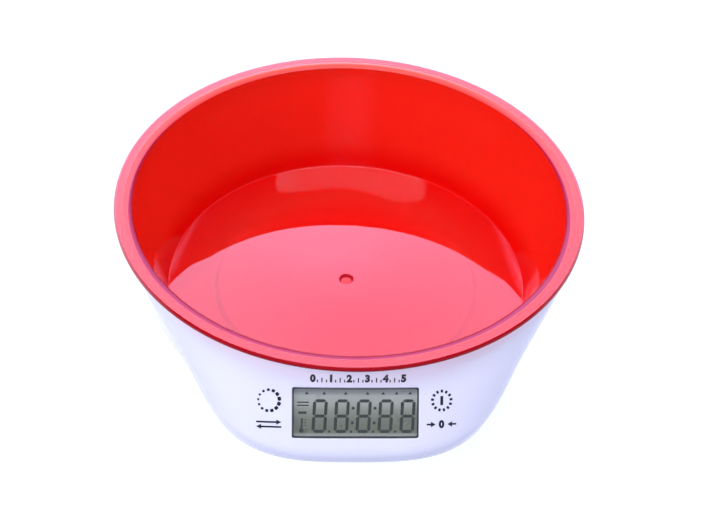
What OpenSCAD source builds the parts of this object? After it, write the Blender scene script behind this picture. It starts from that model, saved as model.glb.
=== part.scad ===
// Digital kitchen scale with a lift-off translucent mixing bowl.
// The origin is on the table under the middle of the footprint, +Z is up and the display faces -Y.

/* [Bowl] */
// Height of the bowl's rim above the table
overall_h = 75; // [70:0.5:84]
// Outer radius of the rim
rim_r = 100; // [94:0.5:106]
// Width of the rim's flange, from the mouth to its outer edge
flange_w = 7; // [6:0.5:9]
// How far the wall leans out, from the floor to the mouth
wall_lean = 14.5; // [12:0.5:18]
// Thickness of the bowl's wall
bowl_wall = 2.1; // [1.6:0.1:2.4]
// Thickness of the bowl's floor
bowl_floor = 2.2; // [1.8:0.1:3]
// Radius of the fillet between floor and wall
bowl_fillet = 2; // [1:0.5:4]
// Thickness of the rim's flange
flange_t = 1.8; // [1.4:0.1:2.2]
// Height of the skirt that hangs from the rim
skirt_h = 3; // [2.4:0.1:3.4]
// Thickness of the skirt
skirt_t = 1.5; // [1.2:0.1:1.8]

/* [Body] */
// How far the body draws in from the rim to where it would meet the table
base_in = 30; // [24:0.5:34]
// How far the side bulges beyond a straight cone
side_bow = 4.8; // [3:0.1:5.5]
// Reach of the console beyond the rim, before the chin is rounded
chin_out = 19.8; // [17:0.2:23]
// Height of the chin below the top edge of the housing
chin_drop = 33.7; // [31.2:0.5:35.2]
// Slope of the display panel from the horizontal
panel_angle = 50; // [49:0.5:53]
// How far the console's sides lie inside the rim's outline at the top
shoulder_in = 7; // [5:0.5:10]
// How far the console's sides lie inside the rim's outline at the chin
chin_in = 33; // [30:0.5:35]
// Squareness of the console's plan at the chin, 2 being an ellipse
console_square = 3.2; // [3:0.1:3.6]
// Depth of the rounding at the chin
chin_round = 18; // [14:0.5:20]
// Depth of the blend between the console and the round body
console_blend = 8; // [6:0.5:9]
// Radial thickness of the outer skin
skin = 2.6; // [2.2:0.1:2.8]
// Thickness of the wall and floor of the well that holds the bowl
well_wall = 1.8; // [1.5:0.1:2]
// Gap between the bowl and the well
well_gap = 1.5; // [1.2:0.1:1.6]

/* [Weighing] */
// Radius of the weighing platform
platform_r = 56; // [52:0.5:58]
// Thickness of the platform's top
platform_t = 2.2; // [1.8:0.1:2.4]
// Running gap around the platform
platform_gap = 1.5; // [1:0.1:2]
// Length of the load cell
cell_l = 75; // [70:0.5:80]
// Width and height of the load cell
cell_w = 12.7; // [12:0.1:13]
// Thickness of the steel carrier under the platform
carrier_t = 1.4; // [1.2:0.1:1.6]
// Thickness of the steel spacer on the load cell's free end
spacer_t = 1.6; // [1.4:0.1:2]
// Height of the pedestal that holds the load cell off the base
pedestal_h = 2; // [1.6:0.1:3]
// Length of the steel carrier
carrier_l = 90; // [86:0.5:94]
// Width of the steel carrier
carrier_w = 32; // [28:0.5:34]

/* [Base] */
// Height of the rubber feet below the base cover
foot_h = 2.9; // [2.6:0.1:3.4]
// Radius of a rubber foot
foot_r = 7; // [5:0.5:8]
// Distance of a foot's middle from the edge of the base cover
foot_in = 9.7; // [9:0.1:12]
// Thickness of the base cover
base_t = 2.2; // [1.8:0.1:2.4]
// Radius of a battery, as the AAA size gives it
battery_r = 5.25; // [5:0.05:5.25]
// Length of a battery, with its nub
battery_l = 44.5; // [43.5:0.1:44.5]

/* [Display] */
// Width of the display opening
window_w = 50.4; // [48:0.2:51]
// Height of the display opening
window_h = 20.3; // [19:0.1:20.6]
// Thickness of the display glass, both plates
glass_t = 2.6; // [2.2:0.1:2.8]
// Distance of each board screw from the end of the circuit board
board_end = 4.55; // [4.4:0.05:6]
// Height of the circuit board
board_h = 20.5; // [20:0.1:21]
// Thickness of the circuit board
board_t = 1.2; // [1:0.1:1.6]
// Distance of each touch key from the end of the circuit board
key_in = 3.35; // [3.2:0.05:4]
// Height of the touch keys above the middle of the display
key_y = 4.8; // [4.6:0.1:5]

/* [Hidden] */
$fn = 96;
eps = 0.01;
fit = 0.3;              // clearance between pieces that are put together by hand
thread_fit = 0.08;      // radial clearance of a screw in the metal it holds
side_steps = 72;        // stations around the body's skin
mouth_r = rim_r - flange_w;
floor_r = mouth_r - wall_lean;
chin_reach = rim_r + chin_out;
footprint_front = chin_reach - chin_round/4;
axis_y = (footprint_front - rim_r)/2;

// Heights of the stack under the bowl, from the table up
boss_h = 2.1;           // bosses between the platform and its carrier
base_z = foot_h;
base_top = base_z + base_t;
cell_z = base_top + pedestal_h;
cell_top = cell_z + cell_w;
carrier_z = cell_top + spacer_t;
bowl_bottom = carrier_z + carrier_t + boss_h + platform_t;
floor_z = bowl_bottom + bowl_floor;
bowl_depth = overall_h - floor_z;

// The well that the bowl hangs in
rim_gap = 1.2;          // the flange floats this far above the housing
lip_in = 1.2;           // the housing's top edge lies this far inside the skirt
platform_rise = 2.9;    // the platform stands this far above the well's floor
lip_z = overall_h - flange_t - rim_gap;
lip_r = rim_r - skirt_t - fit - lip_in;
wall_slope = (mouth_r - floor_r)/bowl_depth;
bowl_skin = bowl_wall*sqrt(1 + wall_slope*wall_slope);
well_r = platform_r + platform_gap;
well_floor = bowl_bottom - platform_rise;
body_bottom = base_z - 0.4;
skin_normal = skin*sin(panel_angle);    // the skin's thickness, square to the panel
base_r = rim_r - base_in;
chin_z = lip_z - chin_drop;

// Load cell holes, from each end
cell_holes = [5, 20];

// Feet and housing screws, seen from the axis
foot_turn = 42;
screw_turn = 21.6;
screw_in = 6.3;         // from the edge of the base cover to a screw

// Battery bay, at the back of the base
bay_gap = 0.5;
bay_wall = 2;
spring_l = 7;
contact_t = 0.5;
bay_l = battery_l + spring_l + 3*contact_t;
bay_w = 4*battery_r + 3*bay_gap + 0.5;
battery_z = base_top + 5.1;
bay_in = 33.2;          // from the edge of the base cover to the middle of the bay
bay_top = battery_z + battery_r + bay_gap;
door_t = 1.6;
door_edge = 1.2;        // the door's overlap beyond the bay on each side
hook_x = 15;
hook_w = 6;
tab_w = 12;
tab_l = 2.8;

// Display panel, seen along its own normal
window_s = 21.5;        // from the top of the panel line to the middle of the window
lens_t = 0.8;
lens_back = 2.9;
lens_rise = 1.2;
lens_rim = 1.2;
glass_back = lens_back + 0.1 + glass_t;
strip_h = 2.5;
board_face = glass_back + strip_h;
board_top = 8.3;
board_corner = 6;       // chamfer at the board's lower corners
board_boss_r = 2.6;
frame_wall = 1.2;
glass_w = window_w + 2.4;
glass_h = window_h + 2.2;
board_screw_at = [glass_w/2 + frame_wall + board_boss_r + 3, board_top - board_h + 7.6];
board_w = 2*(board_screw_at[0] + board_end);
key_x = board_w/2 - key_in;
frame_front = 4.6;      // depth at which the display frame starts

// The body's outline, as a radius from the bowl's axis

function blend_max(a, b, k) = max(a, b) + pow(max(0, k - abs(a - b)), 2)/(4*k);

// Round body: a cone with a slight bulge
function side_t(z) = min(1, max(0, z/lip_z));
function side_radius(z) =
    base_r + (lip_r - base_r)*side_t(z) + side_bow*4*side_t(z)*(1 - side_t(z));

// Edge of the base cover, inside the round body
cover_r = side_radius(body_bottom) - skin - fit;
foot_circle = cover_r - foot_in;
screw_circle = cover_r - screw_in;
bay_y = cover_r - bay_in;

// Console: the panel slopes out to the chin, and the underside slopes back to the base
under_reach = base_r - 14;
console_top = rim_r - shoulder_in;
console_chin = rim_r - chin_in;
function panel_reach(z) = chin_reach + (chin_z - z)/tan(panel_angle);
function under_radius(z) = under_reach + (chin_reach - under_reach)*z/chin_z;
function console_reach(z) = -blend_max(-panel_reach(z), -under_radius(z), chin_round);
function console_t(z) = min(1, max(0, (lip_z - z)/(lip_z - chin_z)));
function console_half(z) = console_top + (console_chin - console_top)*console_t(z);
function console_power(z) = 2 + (console_square - 2)*sqrt(console_t(z));
function console_radius(a, z) = sin(a) >= 0 ? 0 :
    pow(pow(abs(cos(a))/console_half(z), console_power(z))
        + pow(-sin(a)/console_reach(z), console_power(z)), -1/console_power(z));
function body_radius(a, z) = blend_max(side_radius(z), console_radius(a, z), console_blend);

// Bowl and well, as radii
function bowl_inner(z) = floor_r + (z - floor_z)*wall_slope;
function well_inner(z) = bowl_inner(z) + bowl_skin + well_gap;
function well_outer(z) = well_inner(z) + well_wall;

// Highest level at which the cavity behind the skin still has room, found by halving
cavity_room = 1;
function cavity_top(a, low, high, n) =
    let (mid = (low + high)/2)
    n == 0 ? low
    : body_radius(a, mid) - skin - well_outer(mid) > cavity_room
        ? cavity_top(a, mid, high, n - 1) : cavity_top(a, low, mid, n - 1);

// A closed solid from rings of the same number of points, lowest ring first
module loft(rings) {
    n = len(rings[0]);
    m = len(rings);
    points = [for (ring = rings) for (p = ring) p];
    side = [for (j = [0:m - 2]) for (i = [0:n - 1])
        let (a = j*n + i, b = j*n + (i + 1)%n) each [[a, a + n, b], [b, a + n, b + n]]];
    bottom = [for (i = [0:n - 1]) i];
    top = [for (i = [n - 1:-1:0]) (m - 1)*n + i];
    polyhedron(points, concat([bottom], side, [top]), convexity = 6);
}

// A closed ring whose cross-section changes around it: one list of [radius, z] for each station
module ring_loft(sections) {
    n = len(sections);
    m = len(sections[0]);
    points = [for (i = [0:n - 1]) for (p = sections[i])
        [p[0]*cos(360*i/n), p[0]*sin(360*i/n), p[1]]];
    faces = [for (i = [0:n - 1]) for (j = [0:m - 1])
        let (a = i*m + j, b = i*m + (j + 1)%m, c = ((i + 1)%n)*m + j, d = ((i + 1)%n)*m + (j + 1)%m)
        each [[a, b, c], [b, d, c]]];
    polyhedron(points, faces, convexity = 8);
}

// A round tube along a list of points, with its ends square to the first and last stretch
function unit(v) = v/norm(v);
function path_dir(path, i) =
    unit((i == 0 ? path[1] - path[0] : unit(path[i] - path[i - 1]))
        + (i == len(path) - 1 ? unit(path[i] - path[i - 1])
            : i == 0 ? [0, 0, 0] : unit(path[i + 1] - path[i])));
function side_of(d) = unit(cross(d, abs(d[0]) < 0.9 ? [1, 0, 0] : [0, 1, 0]));
module tube(path, r, sides = 8) {
    loft([for (i = [0:len(path) - 1])
        let (d = path_dir(path, i), u = side_of(d), v = cross(d, u))
        [for (k = [0:sides - 1]) path[i] + r*(cos(360*k/sides)*u + sin(360*k/sides)*v)]]);
}

// Rounds a route of a few points into a smooth one
function smooth(path, steps) = [for (i = [0:len(path) - 2]) for (k = [0:steps - 1])
    let (p0 = path[max(i - 1, 0)], p1 = path[i], p2 = path[i + 1],
        p3 = path[min(i + 2, len(path) - 1)], t = k/steps)
    0.5*(2*p1 + t*(p2 - p0) + t*t*(2*p0 - 5*p1 + 4*p2 - p3) + t*t*t*(3*p1 - p0 - 3*p2 + p3)),
    path[len(path) - 1]];

// Places what follows on the bowl's axis
module on_axis() translate([0, axis_y, 0]) children();

// Places what follows on the panel: X right, Y up the slope, Z out of it, from the window's middle
panel_top_r = panel_reach(lip_z);
window_r = panel_top_r + window_s*cos(panel_angle);
window_z = lip_z - window_s*sin(panel_angle);
module on_panel() on_axis() translate([0, -window_r, window_z]) rotate([panel_angle, 0, 0]) children();
// The same place, from the axis and without the shift to the footprint's middle
function panel_point(x, y, depth) = [x,
    -window_r + y*cos(panel_angle) + depth*sin(panel_angle),
    window_z + y*sin(panel_angle) - depth*cos(panel_angle)];
// Depth of the skin's outer face below the panel's plane, at a distance from the middle
function panel_fall(x, y) = let (z = window_z + y*sin(panel_angle), p = console_power(z))
    console_reach(z)*(1 - pow(1 - pow(x/console_half(z), p), 1/p))*sin(panel_angle);

// Screws

// A screw along +Z whose head's underside is at z = 0 and whose head is below it
module pan_screw(head_r, head_h, shank_r, shank_l) {
    difference() {
        translate([0, 0, -head_h]) cylinder(h = head_h, r = head_r);
        for (turn = [0, 90]) rotate(turn)
            translate([-head_r*0.55, -head_r*0.09, -head_h - eps])
                cube([head_r*1.1, head_r*0.18, head_h*0.5]);
    }
    cylinder(h = shank_l, r = shank_r);
}

// A countersunk screw along +Z whose head is flush with z = 0
module flat_screw(head_r, shank_r, length) {
    difference() {
        union() {
            cylinder(h = head_r - shank_r, r1 = head_r, r2 = shank_r);
            cylinder(h = length, r = shank_r);
        }
        for (turn = [0, 90]) rotate(turn)
            translate([-head_r*0.5, -head_r*0.09, -eps]) cube([head_r, head_r*0.18, 1.2]);
    }
}

module rounded_plate(w, h, t, r) {
    linear_extrude(height = t) {
        square([w - 2*r, h], center = true);
        square([w, h - 2*r], center = true);
        for (x = [-1, 1]) for (y = [-1, 1])
            translate([x*(w/2 - r), y*(h/2 - r)]) circle(r = r);
    }
}

// Bowl

edge_round = 0.6;
gate_r = 3.3;
gate_depth = 0.6;

module quarter(r, cx, cy, from) translate([cx, cy]) intersection() {
    circle(r = r);
    rotate(from) square(r + 1);
}

module bowl_profile() {
    outer_top = bowl_inner(overall_h - flange_t) + bowl_skin;
    difference() {
        union() {
            polygon([[0, bowl_bottom], [floor_r + bowl_skin - 1.5, bowl_bottom],
                [floor_r + bowl_skin - 0.4, bowl_bottom + 0.5],
                [bowl_inner(floor_z) + bowl_skin, floor_z - 0.6],
                [outer_top, overall_h - flange_t], [rim_r - skirt_t, overall_h - flange_t],
                [rim_r - skirt_t, overall_h - skirt_h], [rim_r, overall_h - skirt_h],
                [rim_r, overall_h - edge_round], [rim_r - edge_round, overall_h - edge_round],
                [rim_r - edge_round, overall_h], [mouth_r + edge_round, overall_h],
                [bowl_inner(overall_h - edge_round), overall_h - edge_round],
                [bowl_inner(floor_z + bowl_fillet), floor_z + bowl_fillet],
                [floor_r - bowl_fillet, floor_z + bowl_fillet], [floor_r - bowl_fillet, floor_z],
                [0, floor_z]]);
            quarter(edge_round, rim_r - edge_round, overall_h - edge_round, 0);
            difference() {
                translate([floor_r - bowl_fillet, floor_z - eps])
                    square([bowl_fillet + 0.2, bowl_fillet]);
                translate([floor_r - bowl_fillet, floor_z + bowl_fillet]) circle(r = bowl_fillet);
            }
        }
        translate([0, floor_z - gate_depth]) square([gate_r, gate_depth + 1]);
    }
}

module bowl() color([0.86, 0.06, 0.08, 0.6]) on_axis() rotate_extrude() bowl_profile();

// Weighing mechanism

platform_boss_at = [carrier_l/2 - 7, carrier_w/2 - 6];

module at_platform_bosses() for (x = [-1, 1]) for (y = [-1, 1])
    translate([x*platform_boss_at[0], y*platform_boss_at[1], 0]) children();

module platform() color("white") on_axis() {
    rib_h = 1.4;
    top = bowl_bottom - platform_t;
    difference() {
        union() {
            translate([0, 0, top]) cylinder(h = platform_t, r = platform_r);
            translate([0, 0, top - rib_h]) difference() {
                cylinder(h = rib_h + eps, r = platform_r - 1);
                translate([0, 0, -eps]) cylinder(h = rib_h + 3*eps, r = platform_r - 2.6);
            }
            at_platform_bosses() translate([0, 0, top - boss_h]) cylinder(h = boss_h + eps, r = 3);
        }
        at_platform_bosses() translate([0, 0, top - boss_h - eps]) cylinder(h = 3.4, r = 1.4);
    }
}

module platform_screws() color("silver") on_axis() at_platform_bosses()
    translate([0, 0, carrier_z]) pan_screw(2.8, 1.6, 1.4 - thread_fit, carrier_t + 3);

// Free-end holes of the load cell, on +X, and fixed-end holes, on -X
module at_free_holes() for (d = cell_holes) translate([cell_l/2 - d, 0, 0]) children();
module at_fixed_holes() for (d = cell_holes) translate([d - cell_l/2, 0, 0]) children();
free_screw_r = 2;
fixed_screw_r = 2.5;

module carrier_plate() color("lightsteelblue") on_axis() difference() {
    translate([0, 0, carrier_z]) rounded_plate(carrier_l, carrier_w, carrier_t, 5);
    at_platform_bosses() translate([0, 0, carrier_z - eps]) cylinder(h = carrier_t + 1, r = 1.6);
    at_free_holes() translate([0, 0, carrier_z - eps]) cylinder(h = carrier_t + 1, r = free_screw_r + 0.2);
    translate([-cell_l/4, 0, carrier_z - eps]) cylinder(h = carrier_t + 1, r = 9);
}

module carrier_screws() color("silver") on_axis() at_free_holes()
    translate([0, 0, carrier_z + carrier_t]) mirror([0, 0, 1])
        pan_screw(3.5, 1.9, free_screw_r, carrier_t + spacer_t + 8);

module cell_spacer() color("silver") on_axis() difference() {
    translate([cell_l/2 - 25, -cell_w/2, cell_top]) cube([25, cell_w, spacer_t]);
    at_free_holes() translate([0, 0, cell_top - eps]) cylinder(h = spacer_t + 1, r = free_screw_r + 0.2);
}

module load_cell() color("gainsboro") on_axis() difference() {
    flex_r = 4.6;
    flex_x = 7;
    translate([-cell_l/2, -cell_w/2, cell_z]) cube([cell_l, cell_w, cell_w]);
    for (x = [-flex_x, flex_x]) translate([x, -cell_w, cell_z + cell_w/2])
        rotate([-90, 0, 0]) cylinder(h = 2*cell_w, r = flex_r);
    translate([-flex_x, -cell_w, cell_z + cell_w/2 - 1.6]) cube([2*flex_x, 2*cell_w, 3.2]);
    at_free_holes() translate([0, 0, cell_z + 2]) cylinder(h = cell_w, r = free_screw_r + thread_fit);
    at_fixed_holes() translate([0, 0, cell_z - eps]) cylinder(h = cell_w - 2, r = fixed_screw_r + thread_fit);
}

module strain_gauges() color("goldenrod") on_axis() for (x = [-7, 7]) for (z = [cell_z - 0.4, cell_top])
    translate([x - 3.5, -2.5, z]) cube([7, 5, 0.4]);

module cell_screws() color("silver") on_axis() at_fixed_holes()
    translate([0, 0, base_z + 0.3]) flat_screw(4.6, fixed_screw_r, cell_z - base_z + 7);

// Wiring, with points measured from the bowl's axis

cable_r = 1.1;
wire_r = 0.7;
// A point inside the skin, at an angle, a height and a distance from the skin's inner face
function inside(a, z, gap) = let (r = body_radius(a, z) - skin - gap) [r*cos(a), r*sin(a), z];
cable_route = [[-10, -cell_w/2 - 0.3, cell_z + 6.4], [-10, -cell_w/2 - 2.6, cell_z + 6.4],
    [-13, -16, cell_z + 5.4], [-18, -32, base_top + 5.4], inside(-114.7, base_top + 5.4, 21.8),
    inside(-111.5, base_top + 9.4, 10.5),
    inside(-108.2, base_top + 13.9, 4.6), inside(-105.1, base_top + 20.9, 6.4),
    panel_point(-22, -8, board_face + board_t + 6), panel_point(-22, -8, board_face + board_t + 0.3)];

module load_cell_cable() color("dimgray") on_axis() tube(smooth(cable_route, 3), cable_r);

wire_gap = 2.2;         // spacing of the two battery wires, in mm, and in degrees near the skin
lug_x = bay_l/2 + bay_wall + 2*fit;
function wire_route(y0, shift, end_x) = [[lug_x, y0, base_top + 5.9], [lug_x + 4, y0, base_top + 5.9],
    [40 + shift, 16, base_top + 4.9], [45 + shift, 0, base_top + 4.9],
    [43 + shift, -26, base_top + 5.9], inside(shift - 54.6, base_top + 7.9, 17),
    inside(shift - 66.8, base_top + 11.9, 9.3), inside(shift - 72.2, base_top + 17.9, 5.9),
    panel_point(end_x, -8, board_face + board_t + 6),
    panel_point(end_x, -8, board_face + board_t + 0.3)];

module battery_wires() {
    color("firebrick") on_axis()
        tube(smooth(wire_route(bay_y - battery_r - bay_gap, 0, 19), 3), wire_r);
    color("black") on_axis()
        tube(smooth(wire_route(bay_y + battery_r + bay_gap, wire_gap, 23), 3), wire_r);
}

// Housing and base

skin_levels = concat(
    [for (i = [0:4]) body_bottom + (chin_z - 10 - body_bottom)*i/4],
    [for (i = [1:5]) chin_z - 10 + 20*i/5],
    [for (i = [1:5]) chin_z + 10 + (lip_z - chin_z - 10)*i/5]);

module skin_solid() loft([for (z = skin_levels) [for (i = [0:side_steps - 1])
    let (a = 360*i/side_steps) [body_radius(a, z)*cos(a), body_radius(a, z)*sin(a), z]]]);

// The space between the outer skin and the well
cavity_steps = 8;
module cavity() ring_loft([for (i = [0:side_steps - 1])
    let (a = 360*i/side_steps, low = body_bottom - 1, top = cavity_top(a, 30, lip_z - 1, 12),
        under = well_floor - well_wall, core = well_r/2)
    concat(
        [for (k = [0:cavity_steps]) let (z = low + (top - low)*k/cavity_steps)
            [body_radius(a, z) - skin, z]],
        [[well_outer(top), top], [well_outer(under), under], [core, under], [core, low]])]);

module well() rotate_extrude() polygon([
    [0, well_floor], [well_inner(well_floor), well_floor],
    [well_inner(lip_z), lip_z], [well_inner(lip_z), lip_z + 1], [0, lip_z + 1]]);

boss_r = 3.6;
pilot_r = 1.3;
module at_housing_screws() for (side = [0, 180]) for (a = [-screw_turn, screw_turn])
    rotate(side + a) translate([screw_circle, 0, 0]) children();

board_boss_h = board_face - panel_fall(board_screw_at[0], board_screw_at[1]) - skin_normal/2;
module upper_housing() color("ghostwhite") {
    boss_bottom = base_top + fit;
    boss_top = well_floor - well_wall/2;
    on_axis() difference() {
        union() {
            difference() {
                skin_solid();
                cavity();
                translate([0, 0, body_bottom - 1])
                    cylinder(h = well_floor - body_bottom + 2, r = well_r);
            }
            at_housing_screws() translate([0, 0, boss_bottom])
                cylinder(h = boss_top - boss_bottom, r = boss_r);
            translate([0, -window_r, window_z]) rotate([panel_angle, 0, 0])
                for (side = [-1, 1]) translate([side*board_screw_at[0], board_screw_at[1], -board_face])
                    cylinder(h = board_boss_h, r = board_boss_r);
        }
        well();
        at_housing_screws() translate([0, 0, boss_bottom - eps]) cylinder(h = 11, r = pilot_r);
        translate([0, -window_r, window_z]) rotate([panel_angle, 0, 0]) {
            translate([0, 0, -6]) rounded_plate(window_w, window_h, 8, 0.8);
            translate([0, 0, -lens_back - 4]) rounded_plate(window_w + 2*lens_rim + 2*fit,
                window_h + 2*lens_rim + 2*fit, 4 + lens_t, 0.5);
            for (side = [-1, 1]) translate([side*board_screw_at[0], board_screw_at[1], -board_face - eps])
                cylinder(h = 3, r = 0.9);
        }
    }
}

module bay_block() translate([-bay_l/2 - bay_wall, bay_y - bay_w/2 - bay_wall, base_z])
    cube([bay_l + 2*bay_wall, bay_w + 2*bay_wall, bay_top + bay_wall - base_z]);

module at_feet() for (side = [0, 180]) for (a = [-foot_turn, foot_turn])
    rotate(side + a) translate([foot_circle, 0, 0]) children();
foot_socket = 0.6;

module base_cover() color("ghostwhite") on_axis() {
    door_l = bay_l + 2*door_edge;
    door_w = bay_w + 2*door_edge;
    difference() {
        union() {
            translate([0, 0, base_z]) cylinder(h = base_t, r = cover_r);
            translate([0, 0, base_top - eps]) difference() {
                cylinder(h = 3, r = cover_r - 0.2);
                translate([0, 0, -eps]) cylinder(h = 4, r = cover_r - 2);
            }
            bay_block();
            translate([-cell_l/2 - 2, -cell_w/2 - 2, base_top - eps])
                cube([27, cell_w + 4, cell_z - base_top + eps]);
        }
        translate([-bay_l/2, bay_y - bay_w/2, base_z - eps]) cube([bay_l, bay_w, bay_top - base_z]);
        translate([-door_l/2 - fit, bay_y - door_w/2 - fit, base_z - eps])
            cube([door_l + 2*fit, door_w + 2*fit, door_t + 0.1]);
        translate([-tab_w/2 - 2, bay_y + door_w/2, base_z - eps]) cube([tab_w + 4, tab_l + 3, door_t + 0.1]);
        for (side = [-1, 1]) translate([side*hook_x - hook_w/2 - fit, bay_y - bay_w/2 - bay_wall - 1, base_top])
            cube([hook_w + 2*fit, bay_wall + 2, 3]);
        for (side = [-1, 1]) translate([side*hook_x - hook_w/2 - fit, bay_y - bay_w/2 - bay_wall, base_z + door_t - eps])
            cube([hook_w + 2*fit, bay_wall + 1, 3]);
        at_fixed_holes() {
            translate([0, 0, base_z - eps]) cylinder(h = 8, r = fixed_screw_r + 0.2);
            translate([0, 0, base_z - eps]) cylinder(h = 0.3 + fit, r = 4.9);
            translate([0, 0, base_z + 0.3]) cylinder(h = 2.4, r1 = 4.9, r2 = fixed_screw_r);
        }
        at_housing_screws() {
            translate([0, 0, base_z - eps]) cylinder(h = 8, r = 1.7);
            translate([0, 0, base_z - eps]) cylinder(h = 1 + 2*eps, r = 3.2);
        }
        at_feet() translate([0, 0, base_z - eps]) cylinder(h = foot_socket, r = foot_r + 0.2);
    }
}

module housing_screws() color("silver") on_axis() at_housing_screws()
    translate([0, 0, base_z + 1]) pan_screw(2.8, 0.9, pilot_r - 0.05, 10);

module rubber_feet() color([0.2, 0.2, 0.22]) on_axis() at_feet() difference() {
    union() {
        translate([0, 0, 0.8]) cylinder(h = base_z + foot_socket - 0.9, r = foot_r);
        cylinder(h = 0.8 + eps, r1 = foot_r - 0.8, r2 = foot_r);
    }
    translate([0, 0, -eps]) cylinder(h = 0.4, r = foot_r - 3);
}

module battery_door() color("ghostwhite") on_axis() {
    door_l = bay_l + 2*door_edge;
    door_w = bay_w + 2*door_edge;
    front = bay_y - door_w/2;
    difference() {
        union() {
            translate([-door_l/2, front, base_z]) cube([door_l, door_w, door_t]);
            translate([-tab_w/2, front + door_w - eps, base_z]) cube([tab_w, tab_l, door_t]);
            for (side = [-1, 1]) translate([side*hook_x - hook_w/2, 0, 0]) {
                translate([0, front + 0.3, base_z + door_t - eps]) cube([hook_w, 1.2, 1.9]);
                translate([0, front - 1.5, base_top + fit]) cube([hook_w, 3, 1]);
            }
        }
        for (k = [0:3]) translate([-tab_w/2 + 1.5, front + door_w - 2 - 1.6*k, base_z - eps])
            cube([tab_w - 3, 0.7, 0.4]);
    }
}

// Power

// The two batteries lie head to tail: +1 has its nub on +X
module at_batteries() for (side = [-1, 1])
    translate([0, bay_y + side*(battery_r + bay_gap), battery_z]) rotate(side > 0 ? 0 : 180) children();
battery_back = -bay_l/2 + contact_t + spring_l;

module batteries() color("darkslategray") on_axis() at_batteries() translate([battery_back, 0, 0])
    rotate([0, 90, 0]) {
        cylinder(h = battery_l - 1, r = battery_r);
        cylinder(h = battery_l, r = 1.9);
    }

spring_turns = 5;
wire_d = 0.6;
function spring_path(start, length, r0, r1) = [for (i = [0:spring_turns*12])
    let (t = i/(spring_turns*12), r = r0 + (r1 - r0)*t, a = 30*i)
    [start + length*t, r*cos(a), r*sin(a)]];

module battery_springs() color("silver") on_axis() at_batteries()
    tube(spring_path(-bay_l/2 + contact_t + wire_d/2 + 0.05, spring_l - wire_d - 0.1, 3.6, 2.2), wire_d/2, 6);

module battery_contacts() color("silver") on_axis() {
    plate_w = 8;
    for (end = [-1, 1]) {
        x = end > 0 ? bay_l/2 - contact_t : -bay_l/2;
        for (side = [-1, 1]) translate([x, bay_y + side*(battery_r + bay_gap) - plate_w/2, battery_z - 4])
            cube([contact_t, plate_w, 8]);
    }
    translate([-bay_l/2, bay_y - battery_r, battery_z - 2]) cube([contact_t, 2*battery_r, 4]);
}

// Electronics, behind the panel

module circuit_board() color("darkgreen") on_panel() difference() {
    translate([0, 0, -board_face - board_t]) linear_extrude(height = board_t) {
        low = board_top - board_h;
        polygon([[-board_w/2, board_top], [board_w/2, board_top], [board_w/2, low + board_corner],
            [board_w/2 - board_corner, low], [board_corner - board_w/2, low],
            [-board_w/2, low + board_corner]]);
    }
    for (side = [-1, 1]) translate([side*board_screw_at[0], board_screw_at[1], -board_face - board_t - eps])
        cylinder(h = board_t + 1, r = 1.2);
}

module processor_cover() color([0.08, 0.08, 0.09]) on_panel() translate([2, -3, -board_face - board_t - 1.4])
    cylinder(h = 1.4, r1 = 4.5, r2 = 6.5);

module board_components() color("saddlebrown") on_panel() {
    back = -board_face - board_t;
    for (x = [-12, -8.5, 11, 14.5]) translate([x, -10, back - 0.8]) cube([2, 1.2, 0.8]);
    for (x = [-15, 22]) translate([x, -4, back - 0.8]) cube([1.2, 2, 0.8]);
    translate([7.75 - board_w/2, -6, back - 2.2]) cube([8, 3.2, 2.2]);
    translate([board_screw_at[0] - 4.6, -6, back - 1.8]) cylinder(h = 1.8, r = 2);
}

module board_screws() color("silver") on_panel() for (side = [-1, 1])
    translate([side*board_screw_at[0], board_screw_at[1], -board_face - board_t])
        pan_screw(2.1, 1.3, 0.9 - 0.05, board_t + 2.4);

module display_window() color([0.8, 0.85, 0.85, 0.3]) on_panel() {
    translate([0, 0, -lens_back])
        rounded_plate(window_w + 2*lens_rim, window_h + 2*lens_rim, lens_t, 1);
    translate([0, 0, -lens_back + lens_t - eps])
        rounded_plate(window_w - 0.3, window_h - 0.3, lens_rise + eps, 0.7);
}

contact_ledge = 2.4;
module display_glass() color([0.62, 0.66, 0.62]) on_panel() {
    translate([-glass_w/2, -glass_h/2, -glass_back + glass_t/2]) cube([glass_w, glass_h, glass_t/2]);
    translate([-glass_w/2, -glass_h/2 + contact_ledge, -glass_back])
        cube([glass_w, glass_h - contact_ledge, glass_t/2 + eps]);
}

module contact_strip() color("dimgray") on_panel()
    translate([-glass_w/2 + 2, -glass_h/2 + 0.3, -board_face])
        cube([glass_w - 4, contact_ledge - 0.6, strip_h + glass_t/2]);

module display_frame() color("white") on_panel() {
    inner_w = glass_w + 0.4;
    inner_h = glass_h + 0.4;
    difference() {
        translate([-inner_w/2 - frame_wall, -inner_h/2 - frame_wall, -board_face])
            cube([inner_w + 2*frame_wall, inner_h + frame_wall, board_face - frame_front]);
        translate([-inner_w/2, -inner_h/2, -board_face - 1]) cube([inner_w, inner_h + 5, board_face + 5]);
    }
}

// A sprung contact from the board to the skin behind each touch key
key_spring_r = 3;
module key_spring(side) on_panel() translate([side*key_x, key_y, -board_face])
    difference() {
        cylinder(h = board_face - panel_fall(key_x + key_spring_r, key_y) - skin_normal - 2*fit, r = key_spring_r);
        translate([0, 0, 0.4]) cylinder(h = 10, r = key_spring_r - 0.6);
    }
module unit_key_spring() color("gold") key_spring(-1);
module tare_key_spring() color("gold") key_spring(1);

bowl();
platform();
platform_screws();
carrier_plate();
carrier_screws();
cell_spacer();
load_cell();
strain_gauges();
cell_screws();
load_cell_cable();
upper_housing();
base_cover();
housing_screws();
rubber_feet();
battery_door();
batteries();
battery_springs();
battery_contacts();
battery_wires();
circuit_board();
processor_cover();
board_components();
board_screws();
display_window();
display_glass();
display_frame();
contact_strip();
unit_key_spring();
tare_key_spring();
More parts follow.
